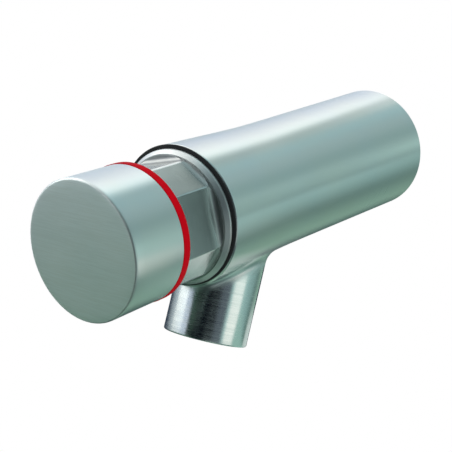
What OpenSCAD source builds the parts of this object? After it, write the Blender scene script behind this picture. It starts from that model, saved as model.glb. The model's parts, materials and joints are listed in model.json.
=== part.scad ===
// Self-closing wall tap: a push button at the front of a long round body,
// with a raked spout below. Pushing the button towards the wall lifts the valve
// washer off its seat; a spring and the water bring it back, slowed by a piston.
// The wall is the plane y = 0. The tap reaches forward along -Y and +Z is up.
// Most pieces are turned: each profile is drawn as [radius, distance from the wall].

/* [Body] */
// Outside radius of the body at its front rim
body_r = 25; // [24.6:0.2:28]
// How much wider the body is at the wall than at its front rim
rear_flare = 0.8; // [0:0.1:1.2]
// How much thinner the body is at its waist than at its front rim
waist_step = 0.85; // [0:0.05:1]
// Distance from the front rim back to the waist
waist_back = 44.4; // [40:0.2:60]
// Length of the body, from the wall to its front rim
body_l = 131.4; // [129:0.2:150]
// Wall of the body round the head's thread
thread_wall = 5; // [4.4:0.1:5.4]
// Wall of the body round the outlet chamber
chamber_wall = 6; // [5.6:0.1:6.6]
// Width of the step that the cartridge seats on
step_w = 5; // [4.4:0.1:5.4]
// Distance from the front rim back to the step
step_back = 71.4; // [66:0.2:76]
// Depth of the solid rear wall that the tail screws into
rear_wall = 14; // [13:0.5:18]
// Chamfer on the rims of the body
rim_edge = 0.5; // [0.2:0.1:0.8]

/* [Spout] */
// Outside radius of the spout
spout_r = 15.5; // [15:0.1:16.5]
// Radius of the waterway down the spout
waterway_r = 9.5; // [8:0.1:10]
// Distance from the front rim back to where the spout's axis meets the body's
spout_back = 34.3; // [33.6:0.1:40]
// Angle that the spout leans forward from straight down
spout_rake = 23; // [15:0.5:25]
// Length of the spout along its axis, from the body's axis to the mouth
spout_l = 53.7; // [52:0.1:75]
// Rounding of the outer edge of the mouth
mouth_edge = 1.3; // [0.6:0.1:2]
// Fillet between spout and body on the wall side
fillet_rear = 8.5; // [5:0.1:9]
// Fillet between spout and body on the button side
fillet_front = 4.1; // [3:0.1:4.3]

/* [Inlet] */
// Outside radius of the inlet thread, G 1/2
tail_r = 10.48; // [10.48, 13.22]
// Length of the inlet thread that stands out behind the body
tail_l = 14; // [10:0.5:16]
// Radius of the waterway through the tail
tail_bore_r = 7.3; // [6.5:0.1:7.6]
// Wire radius of the seal round the tail
tail_seal_wire = 1.15; // [1:0.05:1.3]
// Thickness of the gasket that meets the wall
gasket_t = 2; // [1.5:0.1:3]
// Width of the gasket that meets the wall
gasket_w = 4.5; // [3:0.1:5]
// Length of the strainer's basket
strainer_l = 15; // [10:0.5:18]

/* [Head] */
// Thickness of the black seal between body and head
head_seal_t = 0.7; // [0.6:0.1:1]
// How far the black seal swells past the body
head_seal_swell = 0.1; // [0:0.05:0.3]
// How far the head's flange stays inside the body's outside
flange_step = 1.3; // [0.9:0.1:1.6]
// Thickness of the head's flange
flange_t = 2.1; // [1.8:0.1:3]
// Depth of the slope on the front of the flange
flange_slope = 1.4; // [1:0.1:1.6]
// Size across the wide flats for the spanner
flats_wide = 38.9; // [37:0.1:40]
// Size across the narrow flats on the corners
flats_narrow = 42.9; // [41:0.1:43.4]
// Room between the head's round bar and the bore of the button that slides over it
slide_room = 0.2; // [0.1:0.05:0.4]
// Length of the head that shows between its flange and the button's ring
head_show = 18.7; // [15:0.1:22]
// How far the flats reach in under the button
flats_under = 4.1; // [3:0.1:4.6]
// Fillet where the flats run out into the flange
flats_fillet = 1.6; // [0.8:0.1:2]
// Height of the round collar that is left under the flats
flats_collar = 0.3; // [0.2:0.1:1]
// Angle of the first wide flat from level
flats_turn = 12.5; // [0:0.5:45]
// Length of the head's thread in the body
head_thread_l = 13.5; // [12.5:0.1:13.9]
// Radius of the neck that guides the stem inside the button
neck_r = 12.5; // [11:0.5:15]
// Length of the neck in front of the flats
neck_l = 3; // [2.5:0.1:3.4]

/* [Button] */
// Step from the outside of the body down to the outside of the button
button_step = 2; // [1.4:0.1:2.4]
// Length of the steel cap of the button
cap_l = 21.5; // [20.6:0.1:30]
// Wall of the steel cap
cap_wall = 0.9; // [0.9:0.05:1.3]
// Thickness of the face of the cap
cap_face = 2.2; // [1.5:0.1:3]
// Rounding of the edge of the face
cap_edge = 0.7; // [0.3:0.1:1.2]
// Visible width of the coloured ring
ring_w = 2.9; // [2:0.1:4]
// How far the coloured ring stands proud of the cap
ring_proud = 0.23; // [0:0.01:0.3]
// Depth of the step in the cap that the coloured ring sits on
ring_seat = 0.4; // [0.35:0.05:0.5]
// Distance that the button can be pushed
travel = 4; // [3:0.1:5]
// Gap left between the button's boss and the head's neck when the button is right in
stop_gap = 0.3; // [0.2:0.1:0.6]
// Thickness of the plastic disc inside the cap
insert_t = 5.6; // [4:0.1:6]

/* [Cartridge] */
// Wall of the head round the pocket that holds the sleeve
pocket_wall = 4.4; // [4:0.1:5]
// Wall of the timing sleeve
sleeve_wall = 2; // [1.6:0.1:2.6]
// Length of the sleeve's spigot behind the step
spigot_l = 14; // [13:0.5:18]
// Thickness of the sleeve's floor in front of the step
floor_t = 6; // [4:0.5:8]
// Radius of the six outlet ports in the sleeve
port_r = 4; // [3:0.1:4.5]
// Radius of the waterway through the valve seat
seat_bore_r = 6.2; // [5.6:0.1:6.6]
// Depth of the seat ring
seat_l = 6; // [5:0.1:7]
// Radius of the stem
stem_r = 3; // [2.5:0.1:3.2]
// Length of the piston
piston_l = 12; // [10:0.5:14]
// Length of the water cushion between the piston and the head
cushion_l = 11; // [6:0.5:14]
// Wire radius of the closing spring
spring_wire = 1; // [0.7:0.1:1.2]
// Working turns of the closing spring
spring_turns = 6; // [4:1:8]
// Room between the closing spring and the sleeve's bore
spring_room = 1.8; // [1:0.1:2.4]

/* [Aerator] */
// Radius of the aerator's thread, M24
aerator_r = 12; // [11:0.1:12.2]
// Depth of the aerator's seat in the mouth
aerator_depth = 11; // [10:0.1:13]
// Radius of each hole in the aerator's grid
jet_r = 0.9; // [0.6:0.1:1]

/* [Hidden] */
$fn = 96;

// Gap all round pieces that are screwed, pressed or slid into each other
fit = 0.05;
// Overlap that makes two shapes of one solid fuse
fuse = 0.5;

// Radii that follow from the walls and steps
head_thread_r = body_r - thread_wall;
chamber_r = body_r - chamber_wall;
inlet_r = chamber_r - step_w;
flange_r = body_r - flange_step;
button_r = body_r - button_step;
bar_r = button_r - cap_wall - slide_room;
sleeve_r = head_thread_r - pocket_wall;
sleeve_bore_r = sleeve_r - sleeve_wall;

body_rear_r = body_r + rear_flare;
waist_r = body_r - waist_step;

// Places along the tap, counted from the wall
waist_at = body_l - waist_back;
step_at = body_l - step_back;
spout_at = body_l - spout_back;
seal_at = body_l;
flange_at = seal_at + head_seal_t;
flats_at = flange_at + flange_t;
ring_at = flats_at + head_show;
flats_end = ring_at + flats_under;
neck_end = flats_end + neck_l;
cap_at = ring_at + ring_w;
face_at = cap_at + cap_l;
cap_floor = face_at - cap_face;
head_rear = body_l - head_thread_l;
pocket_l = 5;
sleeve_end = head_rear + pocket_l;
port_back = 3;
sleeve_floor = step_at + floor_t;
spigot_at = step_at - spigot_l;
piston_end = sleeve_end - cushion_l;
piston_at = piston_end - piston_l;
port_at = sleeve_floor + port_r + port_back;

// Inlet pieces
tail_inside = rear_wall - 2;
undercut_l = 2 * tail_seal_wire + 0.1;
undercut_depth = 1.18;
undercut_r = tail_r - undercut_depth;
strainer_gap = 1.4;
strainer_r = tail_bore_r - strainer_gap;
strainer_wall = 0.7;
strainer_rim_w = 1.3;
strainer_rim_r = tail_bore_r + strainer_rim_w;
strainer_rim_t = 1.4;
strainer_slot_w = 1.2;
strainer_slot_end = 2.5;
strainer_hole_r = 0.8;
gasket_rim = 3;
gasket_r = body_r - gasket_rim;

// Head and gland
bulkhead_t = 5;
bar_edge = 1;
bush_r = 8;
bush_at = sleeve_end + bulkhead_t;
gland_nut_l = 4;
bush_end = neck_end - gland_nut_l;
stem_room = 0.3;
stem_ring_wire = 1;
stem_ring_back = 3;
stem_ring_at = bush_at + stem_ring_back;
spanner_slot_w = 2;
spanner_slot_depth = 1.2;

// Seals on the sleeve and the seat, each in a groove a little wider than its wire
sleeve_flange_t = 2.5;
sleeve_flange_land = 1.5;
sleeve_ring_wire = 1;
sleeve_ring_back = 3.7;
seat_ring_wire = 0.78;
seat_ring_back = 1.7;
groove_room = 0.1;
groove_w = 1;

// Valve
seat_lip = 0.9;
seat_lip_w = 1.2;
seat_r = 10.5;
washer_r = 9.2;
washer_t = 3;
washer_end = spigot_at - fit;
washer_at = washer_end - washer_t;
holder_wall = 0.8;
holder_t = 5;
holder_rim = 2;
holder_at = washer_at - holder_t;
nut_t = 4;
nut_wall = 2.5;
nut_at = holder_at - nut_t;
stem_tip = 1;
stem_at = nut_at - stem_tip;
valve_shoulder_w = 1.2;
valve_shoulder_r = stem_r + valve_shoulder_w;
valve_shoulder_l = 2;

// Piston
piston_gap = 0.1;
lip_l = 5;
lip_depth = 3.4;
lip_land = 2.5;
lip_slot_w = 0.9;
piston_wall = 2;
piston_web = 4;
lip_at = piston_end - lip_l - lip_land;
clip_t = 1.2;
clip_w = 2.6;
clip_r = stem_r + clip_w;
clip_groove = 0.6;
clip_mouth = 3.2;
collar_w = 2;
collar_r = stem_r + collar_w;
collar_l = 3;

// Button pieces
insert_end = cap_floor;
insert_at = insert_end - insert_t;
boss_r = 7.5;
boss_at = neck_end + travel + stop_gap;
rib_w = 1.6;
rib_count = 6;
web_t = 2;
stem_end = insert_end - web_t;
circlip_t = 1.2;
circlip_mouth = 8;
circlip_depth = 0.4;
circlip_w = 2.6;
circlip_end = insert_at - fit;
ring_lip_t = 0.7;
ring_edge = 0.2;

// Everything that is turned about the body's axis
module turned() { rotate([90, 0, 0]) rotate_extrude() children(); }

// A part of a section, from radius a to radius b and from place c to place d
module band(a, b, c, d) { translate([a, c]) square([b - a, d - c]); }

// What a rounding of radius e takes off the corner at radius a and place c
module round_off(a, c, e, side) {
    translate([a - e, c - side * e]) difference() {
        translate([0, side > 0 ? 0 : -2 * e]) square(2 * e);
        circle(e);
    }
}

// A chamfer of size e on the outer corner at radius a and place c
module chamfer(a, c, e, side) {
    polygon([[a - e, c], [a + e, c], [a + e, c - side * 2 * e], [a, c - side * e]]);
}

// A round wire ring: r to the middle of the wire, which lies at place c
module wire_ring(r, wire, c) { translate([r, c]) circle(wire, $fn = 32); }

// Directions of the spout: along its axis, and forward square to it
spout_dir = [0, -sin(spout_rake), -cos(spout_rake)];
spout_fwd = [0, -cos(spout_rake), sin(spout_rake)];

module along_spout() {
    translate([0, -spout_at, 0]) rotate([180 - spout_rake, 0, 0]) children();
}

// The body narrows from the wall to its waist and widens again to its front rim.
// The two slopes run into each other in a hyperbola, so the waist has no edge.
waist_bend = 0.15;
body_rows = 22;
function slope_over(rise, run) = sqrt(pow(rise + waist_bend, 2) - pow(waist_bend, 2)) / run;
rear_slope = slope_over(body_rear_r - waist_r, waist_at);
front_slope = slope_over(body_r - waist_r, waist_back);
function body_at(place) =
    let (slope = place < waist_at ? rear_slope : front_slope)
    waist_r - waist_bend + norm([waist_bend, slope * (place - waist_at)]);

// The fillet between spout and body is the path of a ball that rolls round the
// spout and touches both. It is larger on the wall side than on the button side.
fillet_steps = 60;
fillet_arc_steps = 8;
fillet_bury = 1.2;
fillet_sink = 0.03;

function side_dir(turn) = cos(turn) * [1, 0, 0] + sin(turn) * spout_fwd;
function fillet_size(turn) =
    (fillet_rear + fillet_front) / 2 - sin(turn) * (fillet_rear - fillet_front) / 2;

// Where a line beside the spout, at distance q on side turn, is depth from the body's axis
function down_to(q, turn, depth) =
    (sqrt(depth * depth - pow(q * cos(turn), 2)) + q * sin(turn) * sin(spout_rake))
    / cos(spout_rake);
function beside_spout(q, turn, depth) =
    [0, -spout_at, 0] + down_to(q, turn, depth) * spout_dir + q * side_dir(turn);

function ball_at(turn, e, guess = [0, -spout_at, 0], tries = 4) =
    tries == 0 ? guess :
    ball_at(turn, e, beside_spout(spout_r - fillet_sink + e, turn,
        body_at(-guess.y) - fillet_sink + e), tries - 1);
function to_body(ball) = -[ball.x, 0, ball.z] / norm([ball.x, 0, ball.z]);
function fillet_point(ball, e, u, v, k) =
    let (bend = acos(u * v))
    ball + e * (sin((1 - k) * bend) * u + sin(k * bend) * v) / sin(bend);

// One section of the fillet: the arc, then three points buried in spout and body
function fillet_section(turn) =
    let (e = fillet_size(turn), ball = ball_at(turn, e),
         u = to_body(ball), v = -side_dir(turn))
    concat(
        [ball + (e + fillet_bury) * u],
        [for (i = [0:fillet_arc_steps]) fillet_point(ball, e, u, v, i / fillet_arc_steps)],
        [ball + (e + fillet_bury) * v],
        [beside_spout(spout_r - fillet_bury, turn, waist_r - fillet_bury)]);

module spout_fillet() {
    sections = [for (i = [0:fillet_steps - 1]) fillet_section(i * 360 / fillet_steps)];
    n = len(sections[0]);
    polyhedron(
        points = [for (section = sections) each section],
        faces = [for (i = [0:fillet_steps - 1], j = [0:n - 1], half = [0, 1])
            let (a = i * n + j, b = i * n + (j + 1) % n,
                 c = ((i + 1) % fillet_steps) * n + (j + 1) % n,
                 d = ((i + 1) % fillet_steps) * n + j)
            half == 0 ? [a, b, c] : [a, c, d]]);
}

module body_outside() {
    turned() difference() {
        polygon(concat([[0, 0]],
            [for (i = [0:body_rows]) let (c = i * body_l / body_rows) [body_at(c), c]],
            [[0, body_l]]));
        chamfer(body_r, body_l, rim_edge, 1);
        chamfer(body_rear_r, 0, rim_edge, -1);
    }
    along_spout() rotate_extrude() difference() {
        band(0, spout_r, 0, spout_l);
        round_off(spout_r, spout_l, mouth_edge, 1);
    }
    spout_fillet();
}

module body_inside() {
    turned() {
        band(0, head_thread_r + fit, head_rear - 1, body_l + 1);
        band(0, chamber_r, step_at, head_rear);
        band(0, inlet_r + fit, rear_wall, step_at + fuse);
        band(0, tail_r + fit, -1, rear_wall + fuse);
        band(0, tail_r + undercut_l / 2, -1, undercut_l);
        band(gasket_r - gasket_w - fit, gasket_r + fit, -1, gasket_t);
    }
    along_spout() rotate_extrude() {
        band(0, waterway_r, 0, spout_l - aerator_depth + fuse);
        band(0, aerator_r + fit, spout_l - aerator_depth, spout_l + 1);
    }
}

module tap_body() {
    color("lightsteelblue") difference() {
        body_outside();
        body_inside();
    }
}

// The inlet pieces behind and inside the rear wall

module inlet_tail() {
    color("silver") turned() difference() {
        band(tail_bore_r, tail_r, -tail_l, tail_inside);
        band(undercut_r, tail_r + 1, 0, undercut_l);
        band(0, strainer_rim_r + fit, -tail_l - 1, -tail_l + strainer_rim_t + fit);
        chamfer(tail_r, -tail_l, rim_edge, -1);
        chamfer(tail_r, tail_inside, rim_edge, 1);
    }
}

module tail_seal() {
    color("dimgray") turned()
        wire_ring(undercut_r + fit + tail_seal_wire, tail_seal_wire, undercut_l / 2);
}

// A cup of fine holes and slots that keeps grit out of the valve
module inlet_strainer() {
    strainer_at = -tail_l + strainer_rim_t;
    strainer_end = strainer_at + strainer_l;
    color("gainsboro") difference() {
        turned() {
            band(strainer_r - strainer_wall, strainer_rim_r, -tail_l, strainer_at);
            band(strainer_r - strainer_wall, strainer_r, strainer_at - fuse, strainer_end);
            band(0, strainer_r, strainer_end - strainer_wall, strainer_end);
        }
        for (turn = [0:45:135]) rotate([0, turn, 0])
            translate([0, -(strainer_at + strainer_l / 2), 0])
            cube([3 * strainer_r, strainer_l - 2 * strainer_slot_end, strainer_slot_w],
                center = true);
        for (turn = [0:60:300]) rotate([0, turn, 0])
            translate([strainer_r / 2, -strainer_end - 1, 0]) rotate([-90, 0, 0])
            cylinder(h = strainer_wall + 2, r = strainer_hole_r);
    }
}

module wall_gasket() {
    color("dimgray") turned() band(gasket_r - gasket_w, gasket_r, 0, gasket_t);
}

// The head: a turned blank with eight flats milled into it, each with a fillet
// at its foot. Four are wide and face the sides of a square, four cut its corners.

module flat_cut(across) {
    reach = bar_r + 2 - across / 2;
    foot = flats_at + flats_collar;
    long = flats_end - foot + 1;
    rotate([0, 90, 0]) translate([0, 0, -bar_r]) linear_extrude(2 * bar_r)
        translate([-foot, 0]) difference() {
            translate([-long, across / 2]) square([long, reach]);
            translate([-flats_fillet, across / 2]) difference() {
                square([flats_fillet + 1, flats_fillet]);
                translate([0, flats_fillet]) circle(flats_fillet);
            }
        }
}

module head_outside() {
    difference() {
        turned() {
            band(0, head_thread_r, head_rear, seal_at + fuse);
            difference() {
                band(0, flange_r, flange_at, flats_at);
                chamfer(flange_r, flats_at, flange_slope, 1);
            }
            band(0, head_thread_r, seal_at, flange_at + fuse);
            difference() {
                band(0, bar_r, flats_at - fuse, flats_end);
                chamfer(bar_r, flats_end, bar_edge, 1);
            }
            difference() {
                band(0, neck_r, flats_end - fuse, neck_end);
                chamfer(neck_r, neck_end, rim_edge, 1);
            }
        }
        rotate([90, 0, 0]) for (turn = [0:90:270]) {
            rotate(flats_turn + turn) flat_cut(flats_wide);
            rotate(flats_turn + turn + 45) flat_cut(flats_narrow);
        }
    }
}

module valve_head() {
    color("darkgray") difference() {
        head_outside();
        turned() {
            band(0, sleeve_r + fit, head_rear - 1, sleeve_end + fit);
            band(0, stem_r + stem_room, sleeve_end, bush_at + fuse);
            band(0, bush_r, bush_at, neck_end + 1);
        }
    }
}

module head_seal() {
    swell = head_seal_t / 2;
    color("#151515") turned() difference() {
        band(head_thread_r + fit, body_r + head_seal_swell, seal_at, flange_at);
        round_off(body_r + head_seal_swell, flange_at, swell * 0.8, 1);
    }
}

module stem_bush() {
    color("ivory") turned() difference() {
        band(stem_r + fit, bush_r - fit, bush_at, bush_end);
        band(0, stem_r + fit + 2 * stem_ring_wire + groove_room,
            stem_ring_at - stem_ring_wire - groove_room,
            stem_ring_at + stem_ring_wire + groove_room);
    }
}

module stem_seal() {
    color("dimgray") turned()
        wire_ring(stem_r + fit + stem_ring_wire, stem_ring_wire, stem_ring_at);
}

// A ring nut with two spanner slots that holds the bush in the neck
module gland_nut() {
    color("goldenrod") difference() {
        turned() difference() {
            band(stem_r + stem_room, bush_r - fit, bush_end, neck_end);
            chamfer(bush_r - fit, neck_end, rim_edge, 1);
        }
        translate([0, -neck_end, 0])
            cube([2 * bush_r + 2, 2 * spanner_slot_depth, spanner_slot_w], center = true);
    }
}

// The cartridge: a sleeve with the seat at its rear and the piston's bore in front

module cartridge_sleeve() {
    color("darkgoldenrod") difference() {
        turned() difference() {
            union() {
                band(0, inlet_r, spigot_at, step_at + fuse);
                difference() {
                    band(0, chamber_r - fit, step_at, step_at + sleeve_flange_t);
                    band(sleeve_r + fit, chamber_r + 1, step_at + sleeve_flange_land,
                        step_at + sleeve_flange_t + fuse);
                }
                band(0, sleeve_r, step_at + fuse, sleeve_end);
            }
            band(0, sleeve_bore_r, sleeve_floor, sleeve_end + 1);
            band(0, seat_bore_r + seat_lip_w, spigot_at + seat_l - fuse, sleeve_floor + fuse);
            band(0, seat_r, spigot_at - 1, spigot_at + seat_l);
            band(inlet_r - 2 * sleeve_ring_wire - groove_room, inlet_r + 1,
                step_at - sleeve_ring_back - sleeve_ring_wire - groove_room,
                step_at - sleeve_ring_back + sleeve_ring_wire + groove_room);
        }
        for (turn = [0:60:300]) rotate([0, turn, 0])
            translate([sleeve_r / 2, -port_at, 0]) rotate([0, 90, 0])
            cylinder(h = sleeve_r, r = port_r);
        // the fine groove that lets the cushion of water out and sets the time
        translate([-groove_w / 2, -sleeve_end - 1, sleeve_bore_r - groove_w / 2])
            cube([groove_w, cushion_l + piston_l + 1, groove_w]);
    }
}

module sleeve_seal() {
    color("dimgray") turned()
        wire_ring(inlet_r - fit - sleeve_ring_wire, sleeve_ring_wire,
            step_at - sleeve_ring_back);
}

module seat_ring() {
    color("whitesmoke") turned() difference() {
        union() {
            band(seat_bore_r, seat_r - fit, spigot_at + seat_lip, spigot_at + seat_l - fit);
            band(seat_bore_r, seat_bore_r + seat_lip_w, spigot_at, spigot_at + seat_lip + fuse);
        }
        band(seat_r - 2 * seat_ring_wire - 2 * groove_room, seat_r + 1,
            spigot_at + seat_l - seat_ring_back - seat_ring_wire - groove_room,
            spigot_at + seat_l - seat_ring_back + seat_ring_wire + groove_room);
    }
}

module seat_seal() {
    color("dimgray") turned()
        wire_ring(seat_r - fit - seat_ring_wire, seat_ring_wire,
            spigot_at + seat_l - seat_ring_back);
}

// The closing spring is a wire swept along a helix, with a closed turn at each end.
spring_mid_r = sleeve_bore_r - spring_wire - spring_room;
spring_at = sleeve_floor + fit;
spring_end = piston_at - fit;
spring_sides = 8;
spring_steps = 20;

function spring_rise(turns, all_turns) =
    let (pitch = (spring_end - spring_at - 4 * spring_wire) / (all_turns - 2))
    turns < 1 ? turns * 2 * spring_wire :
    turns > all_turns - 1 ? spring_end - spring_at - 2 * spring_wire
        - (all_turns - turns) * 2 * spring_wire :
    2 * spring_wire + (turns - 1) * (pitch - 2 * spring_wire / (all_turns - 2));

module closing_spring() {
    all_turns = spring_turns + 2;
    rings = all_turns * spring_steps;
    points = [for (i = [0:rings], j = [0:spring_sides - 1])
        let (turn = 360 * i / spring_steps, way = 360 * j / spring_sides,
             r = spring_mid_r + spring_wire * cos(way),
             at = spring_at + spring_wire + spring_rise(i / spring_steps, all_turns)
                 + spring_wire * sin(way))
        [r * cos(turn), -at, r * sin(turn)]];
    sides = [for (i = [0:rings - 1], j = [0:spring_sides - 1], half = [0, 1])
        let (a = i * spring_sides + j, b = i * spring_sides + (j + 1) % spring_sides)
        half == 0 ? [a, a + spring_sides, b + spring_sides] : [a, b + spring_sides, b]];
    ends = [[for (j = [0:spring_sides - 1]) j],
        [for (j = [spring_sides - 1:-1:0]) rings * spring_sides + j]];
    color("lightgray") polyhedron(points = points, faces = concat(sides, ends));
}

// What moves with the button: the stem, the piston and the valve

module push_stem() {
    color("silver") turned() difference() {
        union() {
            band(0, stem_r, stem_at, stem_end);
            band(0, collar_r, piston_end, piston_end + collar_l);
            band(0, valve_shoulder_r, washer_end, washer_end + valve_shoulder_l);
        }
        band(stem_r - clip_groove, stem_r + 1, piston_at - clip_t - fit, piston_at);
        chamfer(stem_r, stem_at, rim_edge, -1);
        chamfer(stem_r, stem_end, rim_edge, 1);
    }
}

module piston() {
    lip_floor = sleeve_bore_r - lip_depth;
    color("ivory") turned() difference() {
        band(stem_r + fit, sleeve_bore_r - piston_gap, piston_at, piston_end);
        band(lip_floor, sleeve_bore_r, lip_at, lip_at + lip_l);
        band(collar_r + piston_wall, lip_floor - piston_wall, piston_at - 1,
            piston_end - piston_web);
        chamfer(sleeve_bore_r - piston_gap, piston_at, rim_edge, -1);
        chamfer(sleeve_bore_r - piston_gap, piston_end, rim_edge, 1);
    }
}

// A lip seal: water passes it one way, so the button goes in fast and comes out slowly
module piston_seal() {
    inner = sleeve_bore_r - lip_depth + fit;
    outer = sleeve_bore_r - fit;
    color("#303030") turned() difference() {
        band(inner, outer, lip_at + fit, lip_at + lip_l - fit);
        translate([(inner + outer) / 2, lip_at + lip_l - fit]) circle(lip_slot_w, $fn = 32);
        band((inner + outer - lip_slot_w) / 2, (inner + outer + lip_slot_w) / 2,
            lip_at + lip_l / 2, lip_at + lip_l);
    }
}

// An open ring in the stem's groove behind the piston
module piston_clip() {
    color("silver") difference() {
        turned() band(stem_r - clip_groove + fit, clip_r, piston_at - clip_t, piston_at - fit);
        translate([-clip_mouth / 2, -piston_at - 1, 0])
            cube([clip_mouth, clip_t + 2, clip_r + 1]);
    }
}

module valve_holder() {
    color("goldenrod") turned() difference() {
        band(stem_r + fit, washer_r + fit + holder_wall, holder_at, washer_at + holder_rim);
        band(0, washer_r + fit, washer_at, washer_end + 1);
        chamfer(washer_r + fit + holder_wall, holder_at, rim_edge, -1);
    }
}

module valve_washer() {
    color("#202020") turned() band(stem_r + fit, washer_r, washer_at, washer_end);
}

module washer_nut() {
    nut_across = 2 * (stem_r + nut_wall);
    color("silver") rotate([90, 0, 0]) translate([0, 0, nut_at]) difference() {
        cylinder(h = nut_t, d = nut_across / cos(30), $fn = 6);
        translate([0, 0, -1]) cylinder(h = nut_t + 2, r = stem_r + fit);
    }
}

// The button: a steel cap, its coloured ring and the disc that carries them

module button_cap() {
    color("lightsteelblue") turned() difference() {
        band(0, button_r, ring_at, face_at);
        round_off(button_r, face_at, cap_edge, 1);
        band(0, button_r - cap_wall, ring_at - 1, cap_floor);
        band(button_r - ring_seat, button_r + 1, ring_at - 1, cap_at);
        band(0, button_r + 1, ring_at - 1, ring_at + ring_lip_t + fit);
        band(0, button_r - cap_wall + circlip_depth + fit,
            circlip_end - circlip_t - fit, circlip_end);
    }
}

module colour_ring() {
    ring_r = button_r + ring_proud;
    color("#c8101e") turned() difference() {
        band(button_r - cap_wall, ring_r, ring_at, cap_at - fit);
        band(0, button_r - ring_seat + fit, ring_at + ring_lip_t, cap_at + 1);
        chamfer(ring_r, ring_at, ring_edge, -1);
    }
}

module button_insert() {
    disc_r = button_r - cap_wall - fit;
    color("slategray") difference() {
        turned() difference() {
            union() {
                band(0, disc_r, insert_at, insert_end);
                band(0, boss_r, boss_at, insert_end);
            }
            band(0, stem_r + fit, boss_at - 1, stem_end + fit);
            band(boss_r + web_t, disc_r - web_t, insert_at - 1, insert_end - web_t);
        }
    }
    color("slategray") for (turn = [0:360 / rib_count:359]) rotate([0, turn, 0])
        translate([boss_r - fuse, -insert_end, -rib_w / 2])
        cube([disc_r - boss_r, insert_t, rib_w]);
}

module button_circlip() {
    outer = button_r - cap_wall + circlip_depth;
    color("silver") difference() {
        turned() band(outer - circlip_w, outer, circlip_end - circlip_t, circlip_end - fit);
        translate([-circlip_mouth / 2, -circlip_end - 1, -button_r])
            cube([circlip_mouth, circlip_t + 2, button_r]);
    }
}

// The aerator in the mouth of the spout, drawn along the spout's axis

mouth_inset = 0.5;
aerator_end = spout_l - mouth_inset;
aerator_seal_t = 1.6;
seal_overlap = 0.2;
aerator_top = spout_l - aerator_depth;
housing_wall = 1.8;
housing_lip_w = 1.2;
housing_lip_t = 1.4;
housing_edge = 0.5;
housing_at = aerator_top + aerator_seal_t;
core_r = aerator_r - housing_wall - fit;
coin_slot_w = 3;
coin_slot_depth = 0.8;
jet_pitch = 3.6;
regulator_t = aerator_seal_t - 0.2;
regulator_hole_r = 1.1;

module aerator_housing() {
    color("silver") along_spout() difference() {
        rotate_extrude() difference() {
            band(core_r + fit - housing_lip_w, aerator_r, housing_at, aerator_end);
            band(0, core_r + fit, housing_at - 1, aerator_end - housing_lip_t);
            round_off(aerator_r, aerator_end, housing_edge, 1);
        }
        translate([0, 0, aerator_end])
            cube([2 * aerator_r + 2, coin_slot_w, 2 * coin_slot_depth], center = true);
    }
}

module aerator_core() {
    color("gainsboro") along_spout() difference() {
        translate([0, 0, housing_at + fit])
            cylinder(h = aerator_end - housing_lip_t - housing_at - 2 * fit, r = core_r);
        for (row = [-2:2], col = [-2:2])
            if (abs(row + col) < 3)
                translate([(col + row / 2) * jet_pitch, row * jet_pitch * sin(60), housing_at - 1])
                cylinder(h = aerator_depth + 2, r = jet_r, $fn = 24);
    }
}

module aerator_seal() {
    color("dimgray") along_spout() rotate_extrude()
        band(waterway_r + seal_overlap, aerator_r - fit, aerator_top, housing_at);
}

// A disc with a ring of small holes that limits the flow
module flow_regulator() {
    color("slategray") along_spout() difference() {
        translate([0, 0, housing_at - regulator_t])
            cylinder(h = regulator_t, r = waterway_r + seal_overlap - fit);
        for (turn = [0:60:300]) rotate(turn) translate([waterway_r / 2, 0, aerator_top - 1])
            cylinder(h = aerator_seal_t + 2, r = regulator_hole_r, $fn = 24);
    }
}

tap_body();
inlet_tail();
tail_seal();
inlet_strainer();
wall_gasket();
valve_head();
head_seal();
stem_bush();
stem_seal();
gland_nut();
cartridge_sleeve();
sleeve_seal();
seat_ring();
seat_seal();
closing_spring();
push_stem();
piston();
piston_seal();
piston_clip();
valve_holder();
valve_washer();
washer_nut();
button_cap();
colour_ring();
button_insert();
button_circlip();
aerator_housing();
aerator_core();
aerator_seal();
flow_regulator();
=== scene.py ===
# %% [markdown]
# # A self-closing wall tap in satin steel
#
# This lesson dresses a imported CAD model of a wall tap. The tap is a long brushed
# steel body with a raked spout below, a milled head in front of it and a round
# push button with a red ring. The CAD frame brings every piece in metres, with
# the wall at y = 0, the tap reaching out along -Y and +Z up.
#
# The pieces that show are modelled again here with fine, even meshes, because
# satin metal shows every flaw of a mesh in its reflections. The pieces inside
# keep their CAD shape and get a finish of their own.

# %% Load the frame
import json
import math

import bmesh
import bpy
from mathutils import Matrix, Vector

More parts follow.
